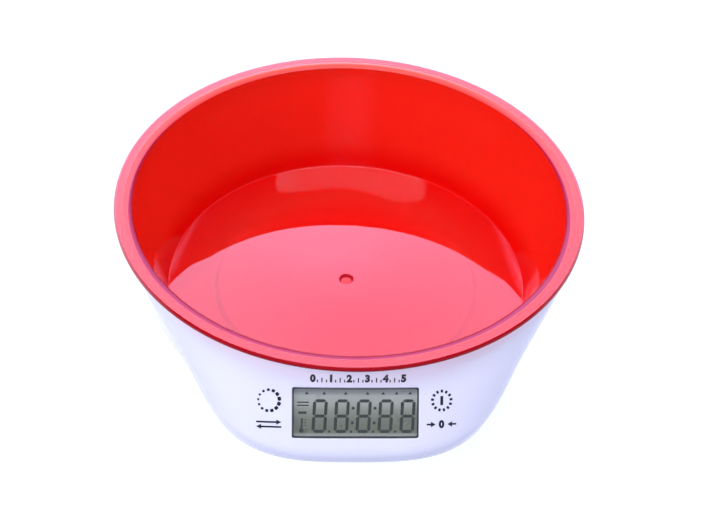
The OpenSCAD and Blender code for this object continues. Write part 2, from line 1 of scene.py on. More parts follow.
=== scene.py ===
"""A digital kitchen scale with a lift-off translucent bowl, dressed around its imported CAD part.

Lengths are in millimetres until a mesh is made, and in metres for the camera and the lamps. Angles
are in radians unless named otherwise.
"""

import math

import bpy
import numpy as np
from mathutils import Matrix, Vector

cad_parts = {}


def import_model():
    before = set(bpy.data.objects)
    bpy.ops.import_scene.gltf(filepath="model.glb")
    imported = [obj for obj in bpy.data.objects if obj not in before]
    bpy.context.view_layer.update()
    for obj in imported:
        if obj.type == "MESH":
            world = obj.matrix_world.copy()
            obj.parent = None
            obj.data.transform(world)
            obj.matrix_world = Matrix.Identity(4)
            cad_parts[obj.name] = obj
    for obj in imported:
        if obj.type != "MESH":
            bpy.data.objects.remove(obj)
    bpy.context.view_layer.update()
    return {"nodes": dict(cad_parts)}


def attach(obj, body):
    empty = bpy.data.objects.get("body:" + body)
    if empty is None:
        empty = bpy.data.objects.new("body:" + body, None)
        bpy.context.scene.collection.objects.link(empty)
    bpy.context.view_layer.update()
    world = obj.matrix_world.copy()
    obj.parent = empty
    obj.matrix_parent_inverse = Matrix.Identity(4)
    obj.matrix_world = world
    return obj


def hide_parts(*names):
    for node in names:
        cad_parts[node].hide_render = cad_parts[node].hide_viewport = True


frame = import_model()
scene = bpy.context.scene
MM = 0.001

# Sizes, as part.scad gives them

OVERALL_H, RIM_R, FLANGE_T, BOWL_WALL = 75.0, 100.0, 1.8, 2.1
MOUTH_R, FLOOR_R, BOWL_BOTTOM, FLOOR_Z = 93.0, 78.5, 27.1, 29.3
LIP_Z, LIP_R, BASE_R, SIDE_BOW = 72.0, 97.0, 70.0, 4.8
CHIN_REACH, CHIN_Z, CHIN_ROUND, UNDER_REACH = 119.8, 38.3, 18.0, 56.0
CONSOLE_TOP, CONSOLE_CHIN, CONSOLE_SQUARE, CONSOLE_BLEND = 93.0, 67.0, 3.2, 8.0
SKIN, WELL_WALL, WELL_GAP, WELL_R, WELL_FLOOR = 2.6, 1.8, 1.5, 57.5, 24.2
FOOT_EDGE, LIP_EDGE = 0.6, 0.5
AXIS_Y, BASE_Z, BASE_TOP, BODY_BOTTOM = 7.65, 2.9, 5.1, 2.5
SCREW_CIRCLE, SCREW_TURN, FOOT_CIRCLE, FOOT_TURN = 62.381, 21.6, 58.981, 42.0
FOOT_R, FOOT_SOCKET = 7.0, 0.6
PANEL = math.radians(50)
WINDOW_S, WINDOW_W, WINDOW_H = 21.5, 50.4, 20.3
LENS_BACK, LENS_T, LENS_RIM = 2.9, 0.8, 1.2
GLASS_W, GLASS_H, GLASS_T, CONTACT_LEDGE = 52.8, 22.5, 2.6, 2.4
BOARD_FACE, BOARD_SCREW = 8.1, (33.2, -4.6)
KEY_X, KEY_Y = 34.4, 4.8
BATTERY_R, BATTERY_L, BATTERY_Z = 5.25, 44.5, 10.2
BAY_Y, BAY_L, BAY_GAP, CONTACT_T, SPRING_L = 35.481, 53.0, 0.5, 0.5, 7.0

WALL_SLOPE = (MOUTH_R - FLOOR_R) / (OVERALL_H - FLOOR_Z)
BOWL_SKIN = BOWL_WALL * math.sqrt(1 + WALL_SLOPE**2)
SKIN_NORMAL = SKIN * math.sin(PANEL)


# The body's outline, as a radius from the bowl's axis


def blend_max(a, b, k):
    return np.maximum(a, b) + np.maximum(0, k - np.abs(a - b)) ** 2 / (4 * k)


def smooth_step(t):
    t = np.clip(t, 0, 1)
    return t * t * (3 - 2 * t)


def side_radius(z):
    t = np.clip(z / LIP_Z, 0, 1)
    return BASE_R + (LIP_R - BASE_R) * t + SIDE_BOW * 4 * t * (1 - t)


def panel_reach(z):
    return CHIN_REACH + (CHIN_Z - z) / math.tan(PANEL)


def console_reach(z):
    under = UNDER_REACH + (CHIN_REACH - UNDER_REACH) * z / CHIN_Z
    return -blend_max(-panel_reach(z), -under, CHIN_ROUND)


def console_radius(a, z):
    t = np.clip((LIP_Z - z) / (LIP_Z - CHIN_Z), 0, 1)
    half = CONSOLE_TOP + (CONSOLE_CHIN - CONSOLE_TOP) * t
    power = 2 + (CONSOLE_SQUARE - 2) * np.sqrt(t)
    forward = np.maximum(-np.sin(a), 1e-9)
    across = np.abs(np.cos(a)) / half
    return (across**power + (forward / console_reach(z)) ** power) ** (-1 / power)


def body_radius(a, z):
    """The console's blend fades out towards the sides, where the console ends."""
    fade = 0.3
    side = side_radius(z)
    console = blend_max(side, console_radius(a, z), CONSOLE_BLEND)
    return side + (console - side) * smooth_step(-np.sin(a) / fade)


def bowl_inner(z):
    return FLOOR_R + (z - FLOOR_Z) * WALL_SLOPE


def well_inner(z):
    return bowl_inner(z) + BOWL_SKIN + WELL_GAP


def well_outer(z):
    return well_inner(z) + WELL_WALL


def halved(low, high, below, rounds):
    """Closes the arrays low and high in on the place between them where below(x) stops holding."""
    for _ in range(rounds):
        mid = (low + high) / 2
        under = below(mid)
        low, high = np.where(under, mid, low), np.where(under, high, mid)
    return low, high


def cavity_top(a):
    """Highest level at which the cavity behind the skin still has room, for an array of angles."""
    lowest, highest, least_room = 30.0, LIP_Z - 1, 1

    def has_room(z):
        return body_radius(a, z) - SKIN - well_outer(z) > least_room

    return halved(np.full_like(a, lowest), np.full_like(a, highest), has_room, 14)[0]


def outside(p):
    """How far points, measured from the axis, lie outside the body's skin, along the radius."""
    angle = np.arctan2(p[..., 1], p[..., 0])
    return np.hypot(p[..., 0], p[..., 1]) - body_radius(angle, p[..., 2])


def skin_normals(p):
    h = 0.02
    steps = np.eye(3) * h
    slope = np.stack([outside(p + s) - outside(p - s) for s in steps], axis=-1) / (2 * h)
    return slope / np.linalg.norm(slope, axis=-1, keepdims=True)


# The display panel: x to the right, y up the slope and depth into it, from the window's middle

WINDOW_R = panel_reach(LIP_Z) + WINDOW_S * math.cos(PANEL)
WINDOW_Z = LIP_Z - WINDOW_S * math.sin(PANEL)


def panel_point(x, y, depth):
    """A point measured from the axis. x, y and depth may be arrays."""
    x, y, depth = np.broadcast_arrays(*(np.asarray(v, float) for v in (x, y, depth)))
    back = -WINDOW_R + y * math.cos(PANEL) + depth * math.sin(PANEL)
    rise = WINDOW_Z + y * math.sin(PANEL) - depth * math.cos(PANEL)
    return np.stack([x, back, rise], axis=-1)


def skin_depth(x, y):
    """Depth of the skin's outer face below the panel's plane."""
    highest, deepest = -6.0, 14.0
    x, y = np.broadcast_arrays(np.asarray(x, float), np.asarray(y, float))
    low, high = np.full(x.shape, highest), np.full(x.shape, deepest)
    low, high = halved(low, high, lambda depth: outside(panel_point(x, y, depth)) > 0, 30)
    return (low + high) / 2


def from_axis(p):
    return np.asarray(p, float) + [0, AXIS_Y, 0]


def panel_matrix(x, y, depth):
    """Turns +Z into the panel's outward normal, with the origin at that place on the panel."""
    at = from_axis(panel_point(x, y, depth))
    return Matrix.Translation(Vector(at)) @ Matrix.Rotation(PANEL, 4, "X")


def grown(outline, by):
    """An outline round the origin moved outwards by a distance, straight out from its sides."""
    return outline * (1 + by / outline.max(0))


def plane_ring(outline, depth):
    """An outline at a depth below the panel's plane."""
    return from_axis(panel_point(*outline.T, depth))


def skin_ring(outline, depth):
    """An outline at a depth below the skin."""
    return plane_ring(outline, skin_depth(*outline.T) + depth)


# Meshes, as (verts, faces) until they become pieces


def new_object(name, data):
    obj = bpy.data.objects.new(name, data)
    scene.collection.objects.link(obj)
    return obj


def mesh_object(name, part):
    mesh = bpy.data.meshes.new(name)
    verts = (np.asarray(part[0], float) * MM).tolist()
    mesh.from_pydata(verts, [], [list(map(int, face)) for face in part[1]])
    mesh.validate()
    return new_object(name, mesh)


def add_piece(name, part, material, replaces=(), body="base", angle=32):
    """A piece shaded smooth between sharp edges, with normals that follow the larger faces."""
    obj = mesh_object(name, part)
    obj.data.materials.append(material)
    obj.data.shade_smooth()
    obj.data.set_sharp_from_angle(angle=math.radians(angle))
    weigh = obj.modifiers.new("weigh", "WEIGHTED_NORMAL")
    weigh.keep_sharp = True
    weigh.weight = 80
    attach(obj, body)
    if replaces:
        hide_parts(*replaces)
    return obj


def arc(start, end, steps):
    return np.linspace(start, end, steps + 1)


def quarter(steps):
    """Sine and cosine along a quarter turn."""
    return [(math.sin(t), math.cos(t)) for t in arc(0, math.pi / 2, steps)]


def rounded(points, steps=5, closed=False):
    """A line of (x, y) or (x, y, radius) points with its corners rounded."""
    out = []
    n = len(points)
    for i, point in enumerate(points):
        corner = Vector(point[:2])
        radius = point[2] if len(point) > 2 else 0
        if radius == 0 or (not closed and i in (0, n - 1)):
            out.append(tuple(corner))
            continue
        back = Vector(points[i - 1][:2]) - corner
        ahead = Vector(points[(i + 1) % n][:2]) - corner
        half = back.angle(ahead) / 2
        cut = min(radius / math.tan(half), 0.49 * back.length, 0.49 * ahead.length)
        back.normalize()
        ahead.normalize()
        middle = corner + (back + ahead).normalized() * (cut / math.cos(half))
        start, end = corner + back * cut - middle, corner + ahead * cut - middle
        turn = math.atan2(start.x * end.y - start.y * end.x, start.dot(end))
        for k in range(steps + 1):
            c, s = math.cos(turn * k / steps), math.sin(turn * k / steps)
            x, y = start.x * c - start.y * s, start.x * s + start.y * c
            out.append((middle.x + x, middle.y + y))
    return out


def lathe(profile, steps, closed=False):
    """A profile of (r, z) points turned round +Z, running anticlockwise."""
    verts, rows = [], []
    turns = [2 * math.pi * i / steps for i in range(steps)]
    for r, z in profile:
        if r < 1e-6:
            rows.append([len(verts)] * steps)
            verts.append((0, 0, z))
        else:
            rows.append(list(range(len(verts), len(verts) + steps)))
            verts += [(r * math.cos(t), r * math.sin(t), z) for t in turns]
    faces = []
    pairs = list(zip(rows, rows[1:])) + ([(rows[-1], rows[0])] if closed else [])
    for low, high in pairs:
        for i in range(steps):
            j = (i + 1) % steps
            face = [low[i], low[j], high[j], high[i]]
            face = [v for k, v in enumerate(face) if v not in face[:k]]
            if len(face) > 2:
                faces.append(face)
    return np.array(verts), faces


def post(radius, low, high, steps=32):
    return lathe([(0, low), (radius, low), (radius, high), (0, high)], steps)


def band_faces(n, rows, closed=False):
    """Faces between rows of n points each, and from the last row to the first if closed."""
    return [
        (j * n + i, j * n + (i + 1) % n, (j + 1) % rows * n + (i + 1) % n, (j + 1) % rows * n + i)
        for j in range(rows if closed else rows - 1)
        for i in range(n)
    ]


def loft(rings):
    """A solid through rings of as many points each, lowest first, with fanned caps."""
    n, top = len(rings[0]), (len(rings) - 1) * len(rings[0])
    middles = [np.mean(rings[0], axis=0), np.mean(rings[-1], axis=0)]
    verts = np.concatenate([*(np.asarray(ring, float) for ring in rings), middles])
    faces = band_faces(n, len(rings))
    faces += [((i + 1) % n, i, len(verts) - 2) for i in range(n)]
    faces += [(top + i, top + (i + 1) % n, len(verts) - 1) for i in range(n)]
    return verts, faces


def joined(parts):
    verts, faces, start = [], [], 0
    for part_verts, part_faces in parts:
        verts.append(np.asarray(part_verts, float))
        faces += [[start + v for v in face] for face in part_faces]
        start += len(part_verts)
    return np.concatenate(verts), faces


def moved(part, matrix):
    verts = np.c_[part[0], np.ones(len(part[0]))] @ np.array(matrix).T
    return verts[:, :3], part[1]


def four_places(circle, turn):
    """The places of four like parts, a turn in degrees to either side of +X and of -X."""
    for side in (0, 180):
        for degrees in (side - turn, side + turn):
            at = math.radians(degrees)
            x, y = circle * math.cos(at), circle * math.sin(at) + AXIS_Y
            yield Matrix.Translation((x, y, 0))


def rectangle(x0, y0, x1, y1):
    return np.array([(x0, y0), (x1, y0), (x1, y1), (x0, y1)])


def box_outline(w, h, radius, pitch=2.0, steps=6):
    """A rounded rectangle as an anticlockwise outline with its long edges divided."""
    box = rectangle(-w / 2, -h / 2, w / 2, h / 2).tolist()
    corners = rounded([(x, y, radius) for x, y in box], steps, closed=True)
    out = []
    for i, (ax, ay) in enumerate(corners):
        bx, by = corners[(i + 1) % len(corners)]
        count = max(1, int(math.dist((ax, ay), (bx, by)) / pitch))
        out += [(ax + (bx - ax) * k / count, ay + (by - ay) * k / count) for k in range(count)]
    return np.array(out)


def tube(path, radius, sides):
    """A round tube along a list of points."""
    path = np.asarray(path, float)
    ahead = np.gradient(path, axis=0)
    ahead /= np.linalg.norm(ahead, axis=1, keepdims=True)
    side = np.cross(ahead[0], [0.3, 0.5, 0.8])
    turns = [2 * math.pi * k / sides for k in range(sides)]
    rings = []
    for point, direction in zip(path, ahead):
        side = side - direction * side.dot(direction)
        side /= np.linalg.norm(side)
        up = np.cross(direction, side)
        rings.append([point + radius * (math.cos(t) * side + math.sin(t) * up) for t in turns])
    return loft(rings)


def coordinates(mesh):
    flat = np.empty(len(mesh.vertices) * 3)
    mesh.vertices.foreach_get("co", flat)
    return flat.reshape(-1, 3)


def flattened(obj):
    """A new mesh of an object as it looks with its modifiers."""
    graph = bpy.context.evaluated_depsgraph_get()
    return bpy.data.meshes.new_from_object(obj.evaluated_get(graph))


def combine(obj, part, operation):
    """Adds a part to an object or cuts it out."""
    tool = mesh_object("tool", part)
    modifier = obj.modifiers.new("combine", "BOOLEAN")
    modifier.operation = operation
    modifier.solver = "MANIFOLD"
    modifier.object = tool
    shape = flattened(obj)
    obj.modifiers.clear()
    old, name = obj.data, obj.data.name
    obj.data = shape
    bpy.data.meshes.remove(old)
    shape.name = name
    waste = tool.data
    bpy.data.objects.remove(tool)
    bpy.data.meshes.remove(waste)


def paint(obj, material, chosen):
    """Gives another material to the faces for which chosen(r, z) holds, measured from the axis."""
    obj.data.materials.append(material)
    last = len(obj.data.materials) - 1
    for face in obj.data.polygons:
        x, y, z = np.array(face.center) / MM - [0, AXIS_Y, 0]
        if chosen(math.hypot(x, y), z):
            face.material_index = last


# Materials


def node(tree, kind, values=(), **settings):
    """Adds a node. values has its inputs by name or number, as sockets to link or plain values."""
    made = tree.nodes.new("ShaderNode" + kind)
    for key, value in settings.items():
        setattr(made, key, value)
    for key, value in dict(values).items():
        if isinstance(value, bpy.types.NodeSocket):
            tree.links.new(value, made.inputs[key])
        else:
            made.inputs[key].default_value = value
    return made


def material_nodes(name):
    material = bpy.data.materials.new(name)
    material.use_nodes = True
    tree = material.node_tree
    tree.nodes.clear()
    return material, tree, node(tree, "OutputMaterial")


def own_place(tree):
    """The place on the object, in its own metres."""
    return node(tree, "TexCoord").outputs["Object"]


def noise(tree, scale, detail=3.0, stretch=(1, 1, 1)):
    place = node(tree, "Mapping", {"Vector": own_place(tree), "Scale": stretch}).outputs[0]
    return node(tree, "TexNoise", {"Vector": place, "Scale": scale, "Detail": detail}).outputs[0]


def ranged(tree, source, low, high):
    """A noise, whose usual range is 0.3 to 0.7, as a number from low to high."""
    limits = {"From Min": 0.3, "From Max": 0.7, "To Min": low, "To Max": high}
    return node(tree, "MapRange", {"Value": source, **limits}).outputs["Result"]


def number(tree, operation, *values):
    return node(tree, "Math", dict(enumerate(values)), operation=operation).outputs[0]


def vector(tree, operation, *values):
    made = node(tree, "VectorMath", dict(enumerate(values)), operation=operation)
    return made.outputs["Value" if operation == "LENGTH" else "Vector"]


def mixed(tree, share, first, second):
    return node(tree, "MixShader", {0: share, 1: first, 2: second}).outputs[0]


def finish(
    name, colour, roughness, metallic=0.0, ior=1.5, vary=0.03, rough_vary=0.25, scale=60.0,
    grain=2500.0, grain_depth=0.004, stretch=(1, 1, 1), coat=0.0, sheen=(1, 1, 1), colour_from=None,
):
    """A Principled surface with faint colour changes, uneven gloss and a fine moulded or brushed
    grain. colour_from, a function that gives a colour over the piece, takes colour's place."""
    material, tree, out = material_nodes(name)
    broad = noise(tree, scale, 4.0, stretch)
    fine = noise(tree, grain, 2.0, stretch)
    if colour_from is None:
        dark = (*(c * (1 - vary) for c in colour), 1)
        light = (*(min(1.0, c * (1 + vary)) for c in colour), 1)
        blend = {0: ranged(tree, broad, 0, 1), 6: dark, 7: light}
        colours = node(tree, "Mix", blend, data_type="RGBA").outputs[2]
    else:
        colours = colour_from(tree)
    uneven = fine if metallic else broad
    low, high = roughness * (1 - rough_vary), roughness * (1 + rough_vary)
    bump = node(tree, "Bump", {"Distance": grain_depth * MM, "Height": fine})
    values = {
        "Base Color": colours,
        "Metallic": metallic,
        "Roughness": ranged(tree, uneven, low, high),
        "IOR": ior,
        "Specular Tint": (*sheen, 1),
        "Coat Weight": coat,
        "Coat Roughness": 0.05,
        "Normal": bump.outputs["Normal"],
    }
    shader = node(tree, "BsdfPrincipled", values)
    tree.links.new(shader.outputs[0], out.inputs["Surface"])
    return material


def clear(
    name, ior, roughness, sheen=(1, 1, 1), haze=0.0, haze_colour=None, absorb=None, density=0.0
):
    """Clear plastic or glass, with a share of haze that scatters light. Rays from lamps and diffuse
    rays pass straight through it and still lose colour inside."""
    material, tree, out = material_nodes(name)
    gloss = {"IOR": ior, "Specular Tint": (*sheen, 1)}
    through = {
        "Base Color": (1, 1, 1, 1),
        "Transmission Weight": 1.0,
        "Roughness": ranged(tree, noise(tree, 90.0), roughness * 0.6, roughness * 1.4),
    }
    surface = node(tree, "BsdfPrincipled", {**gloss, **through}).outputs[0]
    if haze:
        cloudy = {"Base Color": haze_colour(tree), "Roughness": roughness}
        cloudy = node(tree, "BsdfPrincipled", {**gloss, **cloudy}).outputs[0]
        surface = mixed(tree, haze, surface, cloudy)
    path = node(tree, "LightPath")
    for ray in ("Is Diffuse Ray", "Is Shadow Ray"):
        passing = node(tree, "BsdfTransparent").outputs[0]
        surface = mixed(tree, path.outputs[ray], surface, passing)
    tree.links.new(surface, out.inputs["Surface"])
    if absorb:
        volume = node(tree, "VolumeAbsorption", {"Color": (*absorb, 1), "Density": density})
        tree.links.new(volume.outputs[0], out.inputs["Volume"])
    return material


# Colours that change over a piece


def from_srgb(*colour):
    parts = [c / 255 for c in colour]
    return tuple(c / 12.92 if c <= 0.04045 else ((c + 0.055) / 1.055) ** 2.4 for c in parts)


def ramp_over(tree, length, stops):
    """A colour ramp over a length in metres, as (millimetres, colour) stops."""
    low, high = stops[0][0], stops[-1][0]
    limits = {"From Min": low * MM, "From Max": high * MM}
    spread = node(tree, "MapRange", {"Value": length, **limits})
    ramp = node(tree, "ValToRGB", {0: spread.outputs["Result"]})
    elements = ramp.color_ramp.elements
    elements[0].color, elements[1].color = (*stops[0][1], 1), (*stops[-1][1], 1)
    for at, colour in stops[1:-1]:
        elements.new((at - low) / (high - low)).color = (*colour, 1)
    return ramp.outputs["Color"]


def along(tree, axis, stops):
    """A colour ramp along one of the object's own axes."""
    parts = node(tree, "SeparateXYZ", {0: own_place(tree)})
    return ramp_over(tree, parts.outputs[axis], stops)


# Painted reflection on the display, as stops up the panel from the window's middle
LCD_REFLECTION_STOPS = [(-11.0, (114, 118, 108)), (-8.9, (152, 157, 149)), (-8.0, (111, 117, 103))]
LCD_REFLECTION_STOPS += [(-7.0, (105, 111, 95)), (-3.1, (112, 118, 105)), (1.0, (136, 142, 130))]
LCD_REFLECTION_STOPS += [(3.5, (160, 165, 157)), (6.6, (169, 175, 170)), (8.4, (141, 143, 142))]
LCD_REFLECTION_STOPS.append((11.0, (130, 132, 130)))


def lcd_colour(tree):
    """The display's grey-green, with a painted reflection that makes it paler up the panel."""
    depth = 3.0
    foot = WINDOW_Z - depth * math.cos(PANEL)
    stops = [(foot + y * math.sin(PANEL), from_srgb(*colour)) for y, colour in LCD_REFLECTION_STOPS]
    return along(tree, "Z", stops)


def board_colour(tree):
    """Green solder mask with lighter copper tracks under it."""
    bricks = {
        "Vector": own_place(tree),
        "Scale": 260.0,
        "Mortar Size": 0.02,
        "Color1": (0.010, 0.085, 0.030, 1),
        "Color2": (0.012, 0.100, 0.038, 1),
        "Mortar": (0.045, 0.210, 0.080, 1),
    }
    return node(tree, "TexBrick", bricks).outputs["Color"]


def wrap_colour(tree):
    """A dark battery wrap with one lighter band."""
    dark, band = (0.05, 0.055, 0.065), (0.55, 0.56, 0.58)
    stops = [(-23.0, dark), (6.9, dark), (7.1, band), (9.0, band), (9.2, dark), (25.0, dark)]
    return along(tree, "X", stops)


def roll_colour(tree):
    """The rolled edge of the bowl's mouth in painted shade and reflection: a dark line at its foot,
    red with a finer dark line up its slope, then pink. The dark line is broad at the front and gone
    at the back."""
    shift_per_length, least_shift = 2.2 / 95, -1.1 * MM
    dark = (0.40, 0.006, 0.05)
    level = vector(tree, "SUBTRACT", own_place(tree), (0, AXIS_Y * MM, 0))
    level = vector(tree, "MULTIPLY", level, (1, 1, 0))
    shift = node(tree, "SeparateXYZ", {0: level}).outputs["Y"]
    shift = number(tree, "MULTIPLY", shift, shift_per_length)
    shift = number(tree, "MAXIMUM", shift, least_shift)
    place = number(tree, "ADD", shift, vector(tree, "LENGTH", level))
    stops = [(92.0, dark), (93.5, dark), (93.8, (0.92, 0.09, 0.09)), (95.9, (0.90, 0.10, 0.05))]
    stops += [(96.2, (0.66, 0.065, 0.022)), (96.5, (0.92, 0.15, 0.08)), (97.8, (0.97, 0.27, 0.23))]
    return ramp_over(tree, place, stops)


def bowl_colour(tree):
    """The bowl's red, deeper on its floor than on its wall: painted shade and painted light."""
    shaded_floor_red, lit_wall_red = (0.88, 0.003, 0.002), (0.99, 0.036, 0.016)
    stops = [(28.0, shaded_floor_red), (31.0, shaded_floor_red), (40.0, lit_wall_red), (75.0, lit_wall_red)]
    return along(tree, "Z", stops)


def edge_colour(tree):
    """The flange's outer edge: painted shade, dark at the front, and painted light, paler towards
    the back, where light comes through it.
    """
    shaded_maroon = (0.34, 0.002, 0.006)
    stops = [(-100.0, shaded_maroon), (-62.0, shaded_maroon), (-15.0, (0.58, 0.16, 0.19))]
    stops += [(20.0, (0.72, 0.28, 0.36)), (110.0, (0.90, 0.45, 0.56))]
    return along(tree, "Y", stops)


POLISHED = {"grain_depth": 0.0005}
GATE = {"ior": 1.45, "vary": 0.04, "sheen": (0.5, 0.3, 0.4), **POLISHED}
MOULDED = {"vary": 0.012, "grain": 3500, "grain_depth": 0.01}

clear_red = clear(
    "clear_red", 1.585, 0.015, sheen=(0.86, 0.95, 1.0), haze=0.45, haze_colour=bowl_colour,
    absorb=(0.995, 0.176, 0.0085), density=1400.0,
)
roll_shade_red = finish(
    "roll_shade_red", (), 0.08, ior=1.585, sheen=(0.42, 0.22, 0.42), colour_from=roll_colour, **POLISHED
)
gate_red = finish("gate_red", (0.93, 0.055, 0.05), 0.3, **GATE)
# Painted shade for the side of the gate mark's hollow.
gate_painted_shade = finish("gate_painted_shade", (0.52, 0.012, 0.03), 0.3, **GATE)
edge_shade_red = finish(
    "edge_shade_red", (), 0.12, ior=1.4, sheen=(0.5, 0.2, 0.35), colour_from=edge_colour, **POLISHED
)
clear_window = clear("clear_window", 1.49, 0.02)
white_gloss = finish(
    "white_gloss", (0.78, 0.78, 0.94), 0.16, ior=1.52, vary=0.008, grain_depth=0.0008, grain=1200
)
white_well = finish(
    "white_well", (0.90, 0.90, 0.92), 0.5, vary=0.008, rough_vary=0.05, grain_depth=0.0003
)
# A grey that stands for painted shade under the bowl's floor.
grey_painted_shade = finish("grey_painted_shade", (0.62, 0.63, 0.65), 0.42, **MOULDED)
white_matte = finish("white_matte", (0.86, 0.87, 0.90), 0.42, **MOULDED)
rubber = finish("foot_rubber", (0.045, 0.046, 0.05), 0.72, vary=0.15, grain=2600, grain_depth=0.02)
steel = finish(
    "steel", (0.58, 0.58, 0.57), 0.28, metallic=1, vary=0.05, grain=900, stretch=(1, 12, 1)
)
aluminium = finish(
    "aluminium", (0.80, 0.80, 0.81), 0.34, metallic=1, grain=500, stretch=(1, 14, 14)
)
foil = finish("gauge_foil", (0.62, 0.40, 0.13), 0.35, metallic=0.6, vary=0.12, scale=900)
black_plastic = finish("black_plastic", (0.025, 0.025, 0.028), 0.38, vary=0.1)
insulation_red = finish("wire_red", (0.42, 0.018, 0.015), 0.42, vary=0.06)
insulation_grey = finish("cable_grey", (0.16, 0.165, 0.17), 0.45, vary=0.06)
wrap = finish("battery_wrap", (), 0.3, coat=0.4, colour_from=wrap_colour)
board_green = finish("board_green", (), 0.3, coat=0.5, colour_from=board_colour)
component = finish("component_brown", (0.16, 0.09, 0.045), 0.45, vary=0.2, scale=400)
gilt = finish("gilt_contact", (0.83, 0.62, 0.28), 0.22, metallic=1, vary=0.05)
# The display's colour holds a painted reflection.
display_grey = finish("display_grey", (), 0.3, colour_from=lcd_colour, **POLISHED)
segment_ink = finish("segment_ink", from_srgb(48, 53, 49), 0.35, vary=0.04, **POLISHED)
print_ink = finish("print_ink", from_srgb(13, 12, 32), 0.4, vary=0.08, **POLISHED)
window_edge_dark = finish("window_edge_dark", from_srgb(42, 42, 58), 0.35, vary=0.06, **POLISHED)


# Housing: a closed ring whose section changes round it, then the window and the bosses


def housing_section(a):
    """The radius and height of each point of the section, as two arrays of rows of angles."""
    hole_edge, fillet, middle_r, skin_foot = 0.5, 1.0, 70.0, 0.3
    rows = []

    def row(r, z):
        rows.append((np.broadcast_to(r, a.shape), np.broadcast_to(z, a.shape)))

    # Bottom edge, then the outer skin, with closer rows at the chin, then the lip
    for s, c in quarter(3):
        z = BODY_BOTTOM + FOOT_EDGE * (1 - s)
        row(body_radius(a, z) - FOOT_EDGE * (1 - c), z)
    rows.reverse()
    levels = (BODY_BOTTOM + FOOT_EDGE, 24, 50, LIP_Z - LIP_EDGE)
    for low, high, steps in zip(levels, levels[1:], (10, 22, 14)):
        for z in arc(low, high, steps)[1:]:
            row(body_radius(a, z), z)
    for s, c in quarter(4)[1:]:
        z = LIP_Z - LIP_EDGE * (1 - s)
        row(body_radius(a, z) - LIP_EDGE * (1 - c), z)
    for s, c in quarter(3):
        z = LIP_Z - LIP_EDGE * (1 - c)
        row(well_inner(z) + LIP_EDGE * (1 - s), z)
    # Well wall and floor, and the hole that the platform stands in
    for z in arc(LIP_Z - LIP_EDGE, WELL_FLOOR + fillet, 6)[1:]:
        row(well_inner(z), z)
    for s, c in quarter(4)[1:]:
        z = WELL_FLOOR + fillet * (1 - s)
        row(well_inner(z) - fillet * (1 - c), z)
    row(middle_r, WELL_FLOOR)
    for s, c in quarter(3):
        row(WELL_R + hole_edge * (1 - s), WELL_FLOOR - hole_edge * (1 - c))
    under = WELL_FLOOR - WELL_WALL
    row(WELL_R, under)
    row(middle_r, under)
    row(well_outer(under), under)
    # Cavity behind the skin
    top = cavity_top(a)
    for k in range(1, 7):
        z = under + (top - under) * k / 6
        row(well_outer(z), z)
    row(body_radius(a, top) - SKIN, top)
    for k in range(1, 19):
        z = top + (BODY_BOTTOM + skin_foot - top) * k / 18
        row(body_radius(a, z) - SKIN, z)
    row(body_radius(a, BODY_BOTTOM) - SKIN + skin_foot, BODY_BOTTOM)
    return np.array([r for r, _ in rows]), np.array([z for _, z in rows])


